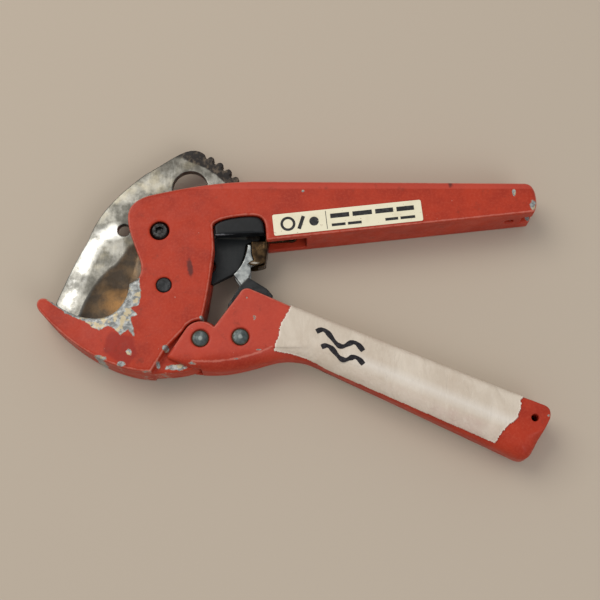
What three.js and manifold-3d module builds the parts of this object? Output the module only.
// Ratcheting cutter for plastic pipe, lying flat on its side with the blade closed and the handles open.
// Millimetres, +Z up. The upper handle runs along +X and the lower handle hangs off towards -Y.
// Everything is drawn about the blade pivot with z = 0 at the middle of the tool, and the finished
// group is then moved so that the origin is at the bottom centre of the whole tool.

import * as THREE from 'three';
import { mergeVertices } from 'three/addons/utils/BufferGeometryUtils.js';
import Module from 'manifold-3d';

const wasm = await Module();
wasm.setup();

// ---------- driving dimensions ----------

const FRAME_HALF = 10; // half thickness of the main casting
const LOWER_HALF = 9.6; // half thickness of the lower handle, bare
const TAPE_OUT = 0.4; // how far the tape stands off the lower handle
const TAPE_GAP = 0.1; // air under the tape
const LUG_HALF = 6; // half thickness of the lug that the lower handle straddles
const CHEEK_INNER = 6.3; // inner face of the lower handle's two cheeks
const MECHANISM_HALF = 6.2; // half width of the pocket in the handle root

const BLADE_HALF = 1.75;
const SLOT_HALF = 2.3; // half width of the slot that the blade swings in
const GROUND_HALF = 0.9; // half thickness of the hollow-ground band
const TIP_RADIUS = 41.7; // tooth tips, from the blade pivot
const ROOT_RADIUS = 39.7;
const SLOT_RADIUS = 42.6;
const TOOTH_PITCH = 6.8; // degrees
const FIRST_TOOTH = 59.6; // degrees
const TOOTH_COUNT = 10;
const SECTOR_RADIUS = 36.1; // smooth part of the blade's back, past the last tooth

const HANDLE_PIVOT = [18, -46.1];
const PAWL_PIVOT = [34.4, -45.4];
const STOP_PIN = [2.5, -23.6];
const CATCH_PIVOT = [55, 2];
const BOSS_RADIUS = 7.3; // round end of the lower handle's cheeks
const LUG_RADIUS = 8.2;

const RIVET_SHANK = 2.9;
const RIVET_HEAD = 3.5;
const RIVET_RECESS = 1.1;
const STOP_RADIUS = 3.2;
const CATCH_PIN = 1.5;
const CROSS_PIN_RADIUS = 0.9;
const FIT = 0.08; // running gap between a pin and its hole

const BUSH_RADIUS = 5; // bush between the blade and its bolt
const LUG_BUSH_RADIUS = 4.2; // bush between the lug and the lower handle's rivet
const WASHER_RADIUS = 9;
const WASHER_IN = 2; // thrust washers, each side of the blade
const WASHER_OUT = 2.9;

const MID_X = 54.9; // middle of the whole tool, from the blade pivot
const MID_Y = -28.3;

// ---------- helpers ----------

const rad = THREE.MathUtils.degToRad;

function polar(radius, degrees, centre = [0, 0]) {
  return [centre[0] + radius * Math.cos(rad(degrees)), centre[1] + radius * Math.sin(rad(degrees))];
}

function material(color, roughness, metalness) {
  return new THREE.MeshStandardMaterial({ color, roughness, metalness });
}

const paint = material(0xaf4132, 0.45, 0);
const blackPlastic = material(0x1b1c1f, 0.4, 0);
const blackSteel = material(0x24262a, 0.45, 0.8);
const brightSteel = material(0xb4b6b4, 0.3, 1);
const greySteel = material(0x8f979c, 0.35, 1);
const brownSteel = material(0x6d5233, 0.45, 0.8);
const brass = material(0xa98b4c, 0.35, 1);
const paper = material(0xefe6cf, 0.6, 0);
const tape = material(0xe0bfa0, 0.85, 0);

// The same outline as straight steps, with no point given twice.
function withoutRepeats(shape, curveSegments) {
  const nearest = 0.02;
  const points = shape.getPoints(curveSegments);
  const kept = points.filter((point, i) => i === 0 || point.distanceTo(points[i - 1]) > nearest);
  if (kept[0].distanceTo(kept[kept.length - 1]) < nearest) kept.pop();
  return new THREE.Shape(kept);
}

// A flat outline made solid between two heights, with an optional rounded edge.
function slab(shape, low, high, edge = 0, steps = 2, curveSegments = 8) {
  const geometry = new THREE.ExtrudeGeometry(withoutRepeats(shape, curveSegments), {
    depth: high - low - 2 * edge,
    bevelEnabled: edge > 0,
    bevelSize: edge,
    bevelOffset: -edge,
    bevelThickness: edge,
    bevelSegments: steps,
  });
  return geometry.translate(0, 0, low + edge);
}

function disc(centre, radius, low, high, sides = 24) {
  const geometry = new THREE.CylinderGeometry(radius, radius, high - low, sides);
  geometry.rotateX(Math.PI / 2);
  return geometry.translate(centre[0], centre[1], (low + high) / 2);
}

function block(lowX, highX, lowY, highY, lowZ, highZ) {
  const geometry = new THREE.BoxGeometry(highX - lowX, highY - lowY, highZ - lowZ);
  return geometry.translate((lowX + highX) / 2, (lowY + highY) / 2, (lowZ + highZ) / 2);
}

// A turned piece: the profile is a list of [radius, height] and the axis is +Z.
function turned(profile, centre, sides = 24) {
  const points = profile.map(([radius, height]) => new THREE.Vector2(radius, height));
  const geometry = new THREE.LatheGeometry(points, sides);
  geometry.rotateX(Math.PI / 2);
  return geometry.translate(centre[0], centre[1], 0);
}

function polygon(points) {
  return new THREE.Shape(points.map(([x, y]) => new THREE.Vector2(x, y)));
}

function solid(geometry) {
  const bare = geometry.clone();
  bare.deleteAttribute('normal');
  bare.deleteAttribute('uv');
  const merged = mergeVertices(bare, 1e-4);
  const corners = merged.index.array;
  const triangles = [];
  for (let i = 0; i < corners.length; i += 3) {
    const [a, b, c] = corners.slice(i, i + 3);
    if (a !== b && b !== c && c !== a) triangles.push(a, b, c);
  }
  const mesh = new wasm.Mesh({
    numProp: 3,
    vertProperties: new Float32Array(merged.attributes.position.array),
    triVerts: new Uint32Array(triangles),
  });
  return new wasm.Manifold(mesh);
}

function shaped(geometry, { joined = [], cuts = [], kept = null }) {
  let body = solid(geometry);
  joined.forEach((piece) => { body = body.add(solid(piece)); });
  if (kept) body = body.intersect(solid(kept));
  cuts.forEach((piece) => { body = body.subtract(solid(piece)); });
  const mesh = body.getMesh();
  const result = new THREE.BufferGeometry();
  result.setAttribute('position', new THREE.BufferAttribute(mesh.vertProperties, 3));
  result.setIndex(new THREE.BufferAttribute(mesh.triVerts, 1));
  result.computeVertexNormals();
  return result;
}

function piece(name, geometry, look) {
  const mesh = new THREE.Mesh(geometry, look);
  mesh.name = name;
  return mesh;
}

// A close-wound coil about +Z, as one tube along a helix.
class Helix extends THREE.Curve {
  constructor(centre, radius, turns, low, high) {
    super();
    Object.assign(this, { centre, radius, turns, low, high });
  }

  getPoint(t, target = new THREE.Vector3()) {
    const [x, y] = polar(this.radius, 360 * this.turns * t, this.centre);
    return target.set(x, y, this.low + (this.high - this.low) * t);
  }
}

function coil(centre, radius, wire, turns, low, high) {
  const section = new THREE.Shape();
  section.absarc(0, 0, wire, 0, 2 * Math.PI, false);
  const path = new Helix(centre, radius, turns, low, high);
  const stepsPerTurn = 14;
  return new THREE.ExtrudeGeometry(section, {
    steps: Math.round(turns * stepsPerTurn),
    curveSegments: 3,
    bevelEnabled: false,
    extrudePath: path,
  });
}

// A pin with a low domed head at both ends, turned in one.
function headedPin(centre, shank, head, headDepth, half) {
  const neck = half - headDepth;
  const rim = 0.5;
  return turned([
    [0, -half], [head - rim, -half], [head, -half + rim], [head, -neck], [shank, -neck],
    [shank, neck], [head, neck], [head, half - rim], [head - rim, half], [0, half],
  ], centre);
}

// ---------- main casting: body, hooked jaw and upper handle ----------

function jawUnderside(shape) {
  shape.bezierCurveTo(-49, -27.6, -51.5, -31.5, -47.9, -35.2);
  shape.bezierCurveTo(-38, -46.5, -20, -60, -1.6, -60.2);
}

function bodyOutline() {
  const shape = new THREE.Shape();
  shape.moveTo(154, 21.3);
  shape.lineTo(40, 22.1);
  shape.bezierCurveTo(25, 22, 8, 19.2, -5, 15.6);
  shape.bezierCurveTo(-10.5, 13.6, -13.4, 11, -13.4, 6.4);
  shape.bezierCurveTo(-13.4, 2, -11.5, -3.5, -9.4, -8.8);
  shape.bezierCurveTo(-8.2, -12, -5.5, -16.5, -8.6, -21.2);
  shape.lineTo(-11.8, -23);
  shape.bezierCurveTo(-12.3, -32, -18, -37.8, -25, -37.8);
  shape.bezierCurveTo(-34, -37.9, -40, -33, -44.8, -29.9);
  jawUnderside(shape);
  shape.lineTo(4.3, -49.9);
  shape.lineTo(...polar(BOSS_RADIUS + 0.6, 155, HANDLE_PIVOT));
  shape.absarc(...HANDLE_PIVOT, BOSS_RADIUS + 0.6, rad(155), rad(86), true);
  shape.quadraticCurveTo(21.4, -25, 22.9, -7.5);
  shape.lineTo(22.2, 2.4);
  shape.bezierCurveTo(22.6, 5.4, 33, 6.8, 38.7, 6.8);
  shape.bezierCurveTo(43, 6.8, 44.4, 5, 44.5, -0.7);
  shape.lineTo(44.8, -4.2);
  shape.lineTo(157.4, 8.2);
  shape.quadraticCurveTo(159.4, 12, 158.6, 16.4);
  shape.quadraticCurveTo(157.8, 21.2, 154, 21.3);
  return shape;
}

function lugOutline() {
  const shape = new THREE.Shape();
  shape.moveTo(-6, -50);
  shape.lineTo(-1.7, -60.1);
  shape.bezierCurveTo(5, -60.2, 12, -59.6, 17, -57.4);
  shape.lineTo(...polar(LUG_RADIUS, -60, HANDLE_PIVOT));
  shape.absarc(...HANDLE_PIVOT, LUG_RADIUS, rad(-60), rad(90), false);
  shape.lineTo(8, -36);
  return shape;
}

// The swept room of the blade: the toothed sector, the hub and the cutting part down in the jaw.
function toothedRoom() {
  const shape = new THREE.Shape();
  shape.moveTo(0, 0);
  shape.absarc(0, 0, SLOT_RADIUS, rad(-58), rad(80), false);
  return shape;
}

function jawRoom() {
  const shape = new THREE.Shape();
  shape.moveTo(0, 5);
  shape.lineTo(-60, 5);
  shape.lineTo(-60, -25);
  shape.lineTo(-46.6, -31.6);
  shape.bezierCurveTo(-38, -44.5, -22, -46.5, -8, -37.5);
  shape.lineTo(0, -32);
  return shape;
}

function mainCasting() {
  const hexSides = 6;
  const recessed = FRAME_HALF - 2.3;
  const nutRecess = FRAME_HALF - 3.2;
  const washerRecess = 3.1;
  const springPocket = 6.2;
  const beyond = FRAME_HALF + 1;
  return shaped(slab(bodyOutline(), -FRAME_HALF, FRAME_HALF, 1.2), {
    joined: [slab(lugOutline(), -LUG_HALF, LUG_HALF)],
    cuts: [
      slab(toothedRoom(), -SLOT_HALF, SLOT_HALF),
      disc([0, 0], SECTOR_RADIUS + 1, -SLOT_HALF, SLOT_HALF, 48),
      slab(jawRoom(), -SLOT_HALF, SLOT_HALF),
      disc([0, 0], WASHER_RADIUS + 0.4, -washerRecess, washerRecess),
      disc([0, 0], 7.6, -springPocket, 0),
      disc([0, 0], RIVET_SHANK + FIT, -beyond, beyond),
      disc([0, 0], 4.1, recessed, beyond),
      disc([0, 0], 5, -beyond, -nutRecess, hexSides),
      disc(STOP_PIN, STOP_RADIUS + FIT, -beyond, beyond),
      // pocket in the handle root for the catch, open below
      block(43, 61.5, -8, 11, -MECHANISM_HALF, MECHANISM_HALF),
      disc(CATCH_PIVOT, CATCH_PIN + FIT, -8.5, 8.5, 16),
      // bore of the lug and the room of the return spring
      disc(HANDLE_PIVOT, LUG_BUSH_RADIUS + FIT, -LUG_HALF - 1, LUG_HALF + 1),
      disc(HANDLE_PIVOT, 6.9, -SLOT_HALF, SLOT_HALF),
      block(18, 28, -46.1, -37, -SLOT_HALF, SLOT_HALF),
      // slot for a lock strap in the handle's end, and the hole that leads into it from below
      block(150.5, 162, 0, 30, -3.2, 3.2),
      block(140, 151, 10.6, 17.6, -3.2, 3.2),
      disc([0, 0], 2, -14, 0, 16).rotateX(Math.PI / 2).translate(144.5, 0, 0),
    ],
  });
}

// ---------- blade ----------

// One rounded tooth that leans clockwise, so that its lower face is the steep one.
function tooth(shape, at) {
  shape.lineTo(...polar(ROOT_RADIUS, at + 2.7));
  const crest = polar(TIP_RADIUS, at + 0.5);
  shape.quadraticCurveTo(...polar(TIP_RADIUS, at + 2.2), ...crest);
  shape.quadraticCurveTo(...polar(TIP_RADIUS, at - 1.6), ...polar(ROOT_RADIUS + 0.8, at - 1.7));
  shape.lineTo(...polar(ROOT_RADIUS, at - 1.5));
}

function bladeOutline() {
  const shape = new THREE.Shape();
  const pinRoom = STOP_RADIUS + 0.27;
  const pinTravel = Math.hypot(...STOP_PIN);
  const notchEnd = -34;
  shape.moveTo(-43.6, -29.6);
  shape.bezierCurveTo(-40, -20, -36, -10, -31.2, -1.4);
  shape.bezierCurveTo(-28, 10, -20, 19, -8, 28.5);
  shape.bezierCurveTo(-2, 32, 3, 36, 7.1, 38);
  shape.bezierCurveTo(11, 39.8, 15, 40, 17.6, 37.2);
  for (let i = 0; i < TOOTH_COUNT; i += 1) tooth(shape, FIRST_TOOTH - TOOTH_PITCH * i);
  shape.lineTo(...polar(SECTOR_RADIUS, -5.5));
  shape.absarc(0, 0, SECTOR_RADIUS, rad(-5.5), rad(-24), true);
  shape.lineTo(30.2, -16.9);
  shape.lineTo(22, -21.1);
  shape.lineTo(...polar(pinTravel + pinRoom, -45));
  // the stop pin runs in this round-ended notch as the blade swings
  shape.absarc(0, 0, pinTravel + pinRoom, rad(-45), rad(notchEnd), false);
  shape.absarc(...polar(pinTravel, notchEnd), pinRoom, rad(notchEnd), rad(notchEnd + 180), false);
  shape.absarc(0, 0, pinTravel - pinRoom, rad(notchEnd), rad(-97), true);
  shape.lineTo(-2.6, -30.5);
  shape.quadraticCurveTo(-9, -36.5, -16, -39.6);
  shape.bezierCurveTo(-27, -43.8, -38, -39, -43.6, -29.6);
  return shape;
}

function groundBand() {
  const shape = new THREE.Shape();
  shape.moveTo(-60, -50);
  shape.lineTo(0, -50);
  shape.lineTo(-4.6, -24);
  shape.quadraticCurveTo(-16, -8, -22, -10);
  shape.quadraticCurveTo(-28, -14, -34, -34);
  shape.lineTo(-60, -34);
  return shape;
}

function blade() {
  return shaped(slab(bladeOutline(), -BLADE_HALF, BLADE_HALF, 0, 0, 6), {
    cuts: [
      disc([0, 0], BUSH_RADIUS + 0.1, -5, 5),
      disc([11.6, 21.9], 7.6, -5, 5, 32),
      disc([-16.2, 2.8], 2.7, -5, 5, 16),
      slab(groundBand(), GROUND_HALF, 5),
      slab(groundBand(), -5, -GROUND_HALF),
    ],
  });
}

function ring(outer, inner, low, high, centre = [0, 0]) {
  return turned([[inner, low], [outer, low], [outer, high], [inner, high], [inner, low]], centre);
}

function pivotBolt() {
  const head = 3.9;
  const under = FRAME_HALF - 2.2;
  const top = FRAME_HALF - 0.2;
  const body = turned([
    [0, -FRAME_HALF + 0.4], [2.4, -FRAME_HALF + 0.4], [2.9, -FRAME_HALF + 0.9], [2.9, under],
    [head, under], [head, top - 0.9], [head - 0.9, top], [0, top],
  ], [0, 0]);
  const socketSides = 6;
  return shaped(body, { cuts: [disc([0, 0], 1.9, top - 1.6, top + 1, socketSides)] });
}

function pivotNut() {
  const low = -FRAME_HALF + 0.2;
  const high = -FRAME_HALF + 3;
  const hexSides = 6;
  const bore = disc([0, 0], RIVET_SHANK + FIT, low - 1, high + 1);
  return shaped(disc([0, 0], 4.8, low, high, hexSides), { cuts: [bore] });
}

// ---------- lower handle ----------

function lowerOutline() {
  const shape = new THREE.Shape();
  shape.moveTo(...polar(BOSS_RADIUS, 150, HANDLE_PIVOT));
  shape.absarc(...HANDLE_PIVOT, BOSS_RADIUS, rad(150), rad(42), true);
  shape.lineTo(33.6, -27.2);
  shape.quadraticCurveTo(34.9, -24.2, 38, -24.9);
  shape.lineTo(54.8, -32.2);
  shape.lineTo(156.2, -73.4);
  shape.quadraticCurveTo(160.6, -74.6, 159, -79.4);
  shape.lineTo(151.6, -93);
  shape.quadraticCurveTo(149.4, -97.4, 145, -95.4);
  shape.lineTo(66, -56.4);
  shape.quadraticCurveTo(56, -51.8, 46, -54.8);
  shape.bezierCurveTo(34, -58.4, 24, -61.4, 12, -57);
  shape.lineTo(4.4, -54);
  return shape;
}

// Room between the two cheeks, open on the top and at the pivot end.
function cheekRoom() {
  const shape = new THREE.Shape();
  shape.moveTo(-6, -28);
  shape.lineTo(-6, -68);
  shape.lineTo(20.6, -68);
  shape.lineTo(21.8, -56);
  shape.bezierCurveTo(34, -55.4, 44, -51.2, 54, -50.4);
  shape.quadraticCurveTo(60.5, -48, 60, -42);
  shape.lineTo(58.5, -18);
  shape.lineTo(20, -18);
  return shape;
}

function lowerHandle() {
  const recess = LOWER_HALF - RIVET_RECESS;
  const beyond = LOWER_HALF + 1;
  const rivetSeats = [HANDLE_PIVOT, PAWL_PIVOT].flatMap((centre) => [
    disc(centre, RIVET_SHANK + FIT, -beyond, beyond),
    disc(centre, RIVET_HEAD + 0.3, recess, beyond),
    disc(centre, RIVET_HEAD + 0.3, -beyond, -recess),
  ]);
  return shaped(slab(lowerOutline(), -LOWER_HALF, LOWER_HALF, 2, 2), {
    cuts: [
      slab(cheekRoom(), -CHEEK_INNER, CHEEK_INNER),
      ...rivetSeats,
      disc([152.7, -79.5], 1.4, -beyond, beyond, 16),
    ],
  });
}

// Where the tape lies: torn ends across the grip, and a long edge short of the underside.
function tapePatch() {
  return polygon([
    [57.2, -24], [54.6, -33], [51.4, -38.4], [50.2, -43.6], [48.2, -51.6], [60, -53.8],
    [69.3, -59.4], [137.4, -90.6], [141, -83.6], [145.2, -79.4], [149.6, -62],
  ]);
}

// The grip as a plain slab with its top edge and both faces standing proud by the given amount.
function gripSkin(proud) {
  const edge = 2;
  const topEdge = polygon([
    [40, -26.1 + proud], [156.2, -73.4 + proud * 1.08], [150, -105], [40, -75],
  ]);
  return slab(topEdge, -LOWER_HALF - proud, LOWER_HALF + proud, edge);
}

function tapeWrap() {
  const patch = slab(tapePatch(), -20, 20);
  return shaped(gripSkin(TAPE_OUT), { kept: patch, cuts: [gripSkin(TAPE_GAP)] });
}

// ---------- drive pawl, carried by the lower handle ----------

const PLATE_IN = 2.45; // inner face of each pawl plate, clear of the blade
const PLATE_OUT = 3.9;
const CARRIER_IN = 4.1;
const CARRIER_OUT = 5.9;
const CROSS_PIN = polar(TIP_RADIUS + 1.6, -29); // the pin that drives the teeth

function pawlPlateOutline() {
  const shape = new THREE.Shape();
  shape.moveTo(...polar(5, 200, PAWL_PIVOT));
  shape.lineTo(32.4, -28);
  shape.lineTo(34.6, -22.6);
  shape.lineTo(30.9, -17.4);
  shape.quadraticCurveTo(36, -12.6, 36.8, -4.2);
  shape.lineTo(38.1, -4.4);
  shape.lineTo(38.4, -8.9);
  shape.lineTo(39.3, -11.3);
  shape.lineTo(36.7, -13);
  shape.lineTo(38.1, -13.9);
  shape.lineTo(38.1, -16.7);
  shape.lineTo(37.3, -18.6);
  shape.quadraticCurveTo(41, -19.6, 41.2, -23);
  shape.lineTo(...polar(5, 10, PAWL_PIVOT));
  shape.absarc(...PAWL_PIVOT, 5, rad(10), rad(-160), true);
  return shape;
}

function pawlPlate(low, high) {
  return shaped(slab(pawlPlateOutline(), low, high), {
    cuts: [
      disc(PAWL_PIVOT, RIVET_SHANK + FIT, low - 1, high + 1),
      disc(CROSS_PIN, CROSS_PIN_RADIUS + FIT, low - 1, high + 1, 12),
    ],
  });
}

function carrierOutline() {
  const shape = new THREE.Shape();
  shape.moveTo(...polar(6, 190, PAWL_PIVOT));
  shape.lineTo(28.9, -31);
  shape.lineTo(33.6, -23);
  shape.lineTo(36.8, -19.6);
  shape.quadraticCurveTo(37.2, -19.2, 37.8, -19.5);
  shape.lineTo(45.1, -24.2);
  shape.lineTo(47.6, -27.2);
  shape.lineTo(...polar(6, 10, PAWL_PIVOT));
  shape.absarc(...PAWL_PIVOT, 6, rad(10), rad(-170), true);
  return shape;
}

// A folded steel saddle: two walls and a web across the back, clear of the teeth.
function pawlCarrier() {
  const web = polygon([[44.4, -30.2], [47.2, -27.2], [41.6, -43], [39.6, -43]]);
  const wallGap = slab(carrierOutline(), -CARRIER_OUT, CARRIER_OUT);
  return shaped(wallGap, {
    cuts: [
      shaped(block(20, 60, -60, -10, -CARRIER_IN, CARRIER_IN), { cuts: [slab(web, -8, 8)] }),
      disc(PAWL_PIVOT, RIVET_SHANK + FIT, -8, 8),
    ],
  });
}

// ---------- catch and release button, carried in the handle root ----------

const BUTTON_IN = 4.3; // the button straddles the pawl plates
const BUTTON_OUT = 9.5;

function catchArmOutline() {
  const shape = new THREE.Shape();
  shape.moveTo(...polar(3, 150, CATCH_PIVOT));
  shape.lineTo(47, 3.6);
  shape.quadraticCurveTo(44.2, 3.2, 44.1, 0);
  shape.lineTo(44.1, -3.1);
  shape.lineTo(43.2, -3.5);
  shape.lineTo(43.2, -11.2);
  shape.lineTo(44.35, -12);
  shape.lineTo(45.8, -1.4);
  shape.lineTo(...polar(3, -110, CATCH_PIVOT));
  shape.absarc(...CATCH_PIVOT, 3, rad(-110), rad(150), false);
  return shape;
}

function catchNoseOutline() {
  return polygon([[44.35, -12], [43.7, -13.2], [41, -14], [40.8, -12.6], [43.2, -11], [44, -10.6]]);
}

// The two side cheeks, each with a small hook that laps over the notch of the pawl plates.
function catchCheekOutline() {
  return polygon([
    [38.2, -3.1], [44.35, -3.1], [44.35, -11.9], [43.7, -12.6], [40.4, -13.6],
    [38.4, -13.7], [36.9, -12.9], [37.7, -12], [39.4, -11.3], [38.6, -8.9],
  ]);
}

function catchBracket() {
  const half = 4.6;
  const cheekInner = PLATE_OUT + 0.15;
  const noseHalf = 2.1;
  const springRoom = 2.6;
  return shaped(slab(catchArmOutline(), -half, half), {
    joined: [
      slab(catchNoseOutline(), -noseHalf, noseHalf),
      slab(catchCheekOutline(), cheekInner, half),
      slab(catchCheekOutline(), -half, -cheekInner),
    ],
    cuts: [
      disc(CATCH_PIVOT, CATCH_PIN + FIT, -8, 8, 16),
      block(46.4, 60, -6, 8, -springRoom, springRoom),
    ],
  });
}

function buttonOutline() {
  const shape = new THREE.Shape();
  shape.moveTo(23.3, -1.9);
  shape.lineTo(22.9, 1.6);
  shape.bezierCurveTo(23.2, 5, 33, 6.3, 38.6, 6.3);
  shape.bezierCurveTo(42, 6.3, 43.7, 4.8, 43.8, 0);
  shape.lineTo(43.9, -0.8);
  return shape;
}

function releaseButton() {
  return shaped(slab(buttonOutline(), -BUTTON_OUT, BUTTON_OUT, 0.6, 1), {
    cuts: [
      block(20, 42.3, -8, 9, -BUTTON_IN, BUTTON_IN),
      block(42, 46, -8, 2.8, -BUTTON_IN, BUTTON_IN),
    ],
  });
}

// ---------- label ----------

function labelPlate() {
  const corner = 0.8;
  const width = 62.8;
  const height = 9.3;
  const shape = new THREE.Shape();
  shape.moveTo(-width / 2 + corner, -height / 2);
  shape.lineTo(width / 2 - corner, -height / 2);
  shape.quadraticCurveTo(width / 2, -height / 2, width / 2, -height / 2 + corner);
  shape.lineTo(width / 2, height / 2 - corner);
  shape.quadraticCurveTo(width / 2, height / 2, width / 2 - corner, height / 2);
  shape.lineTo(-width / 2 + corner, height / 2);
  shape.quadraticCurveTo(-width / 2, height / 2, -width / 2, height / 2 - corner);
  shape.lineTo(-width / 2, -height / 2 + corner);
  shape.quadraticCurveTo(-width / 2, -height / 2, -width / 2 + corner, -height / 2);
  return slab(shape, 0, 0.2, 0, 0, 3);
}

// ---------- assembly ----------

const BORE = RIVET_SHANK + 0.1; // bore of each bush
const stopPin = headedPin(STOP_PIN, STOP_RADIUS, STOP_RADIUS, 1, FRAME_HALF - 0.2);

const frameGroup = new THREE.Group();
frameGroup.add(piece('frame_casting', mainCasting(), paint));
frameGroup.add(piece('blade_pivot_bolt', pivotBolt(), blackSteel));
frameGroup.add(piece('blade_pivot_nut', pivotNut(), blackSteel));
frameGroup.add(piece('thrust_washer_front', ring(WASHER_RADIUS, BORE, WASHER_IN, WASHER_OUT), brass));
frameGroup.add(piece('thrust_washer_rear', ring(WASHER_RADIUS, BORE, -WASHER_OUT, -WASHER_IN), brass));
frameGroup.add(piece('blade_spring', coil([0, 0], 5.6, 0.45, 1.5, -5.5, -3.6), greySteel));
frameGroup.add(piece('blade_stop_pin', stopPin, blackSteel));
const lugBush = ring(LUG_BUSH_RADIUS, BORE, -LUG_HALF + 0.1, LUG_HALF - 0.1, HANDLE_PIVOT);
frameGroup.add(piece('handle_pivot_bush', lugBush, brass));
frameGroup.add(piece('handle_spring', coil(HANDLE_PIVOT, 5.6, 0.5, 2, -1.5, 1.5), greySteel));
const catchPin = headedPin(CATCH_PIVOT, CATCH_PIN, CATCH_PIN, 0.5, 8.3);
frameGroup.add(piece('catch_pivot_pin', catchPin, greySteel));
frameGroup.add(piece('catch_spring', coil(CATCH_PIVOT, 2.3, 0.35, 4, -1.9, 1.9), greySteel));
const label = piece('label_plate', labelPlate(), paper);
label.position.set(78.8, 5.5, FRAME_HALF + 0.05);
label.rotation.z = rad(6.2);
frameGroup.add(label);

const bladeGroup = new THREE.Group();
bladeGroup.add(piece('blade', blade(), brightSteel));
bladeGroup.add(piece('blade_bush', ring(BUSH_RADIUS, BORE, -BLADE_HALF, BLADE_HALF), brass));

const lowerGroup = new THREE.Group();
lowerGroup.add(piece('lower_handle', lowerHandle(), paint));
lowerGroup.add(piece('masking_tape', tapeWrap(), tape));
const rivetHalf = LOWER_HALF - 0.2;
const headDepth = RIVET_RECESS - 0.3;
for (const [name, centre] of [['handle_pivot_rivet', HANDLE_PIVOT], ['pawl_pivot_rivet', PAWL_PIVOT]]) {
  const rivet = headedPin(centre, RIVET_SHANK, RIVET_HEAD, headDepth, rivetHalf);
  lowerGroup.add(piece(name, rivet, greySteel));
}

const pawlGroup = new THREE.Group();
pawlGroup.add(piece('pawl_plate_front', pawlPlate(PLATE_IN, PLATE_OUT), greySteel));
pawlGroup.add(piece('pawl_plate_rear', pawlPlate(-PLATE_OUT, -PLATE_IN), greySteel));
const crossPin = headedPin(CROSS_PIN, CROSS_PIN_RADIUS, CROSS_PIN_RADIUS, 0.5, PLATE_OUT);
pawlGroup.add(piece('pawl_cross_pin', crossPin, greySteel));
pawlGroup.add(piece('pawl_carrier', pawlCarrier(), blackSteel));
pawlGroup.add(piece('pawl_spring', coil(PAWL_PIVOT, 3.9, 0.45, 3, -1.7, 1.7), greySteel));

const catchGroup = new THREE.Group();
catchGroup.add(piece('catch_bracket', catchBracket(), brownSteel));
catchGroup.add(piece('release_button', releaseButton(), blackPlastic));

const cutter = new THREE.Group();
cutter.add(frameGroup, bladeGroup, lowerGroup, pawlGroup, catchGroup);
cutter.position.set(-MID_X, -MID_Y, FRAME_HALF);

export default cutter;
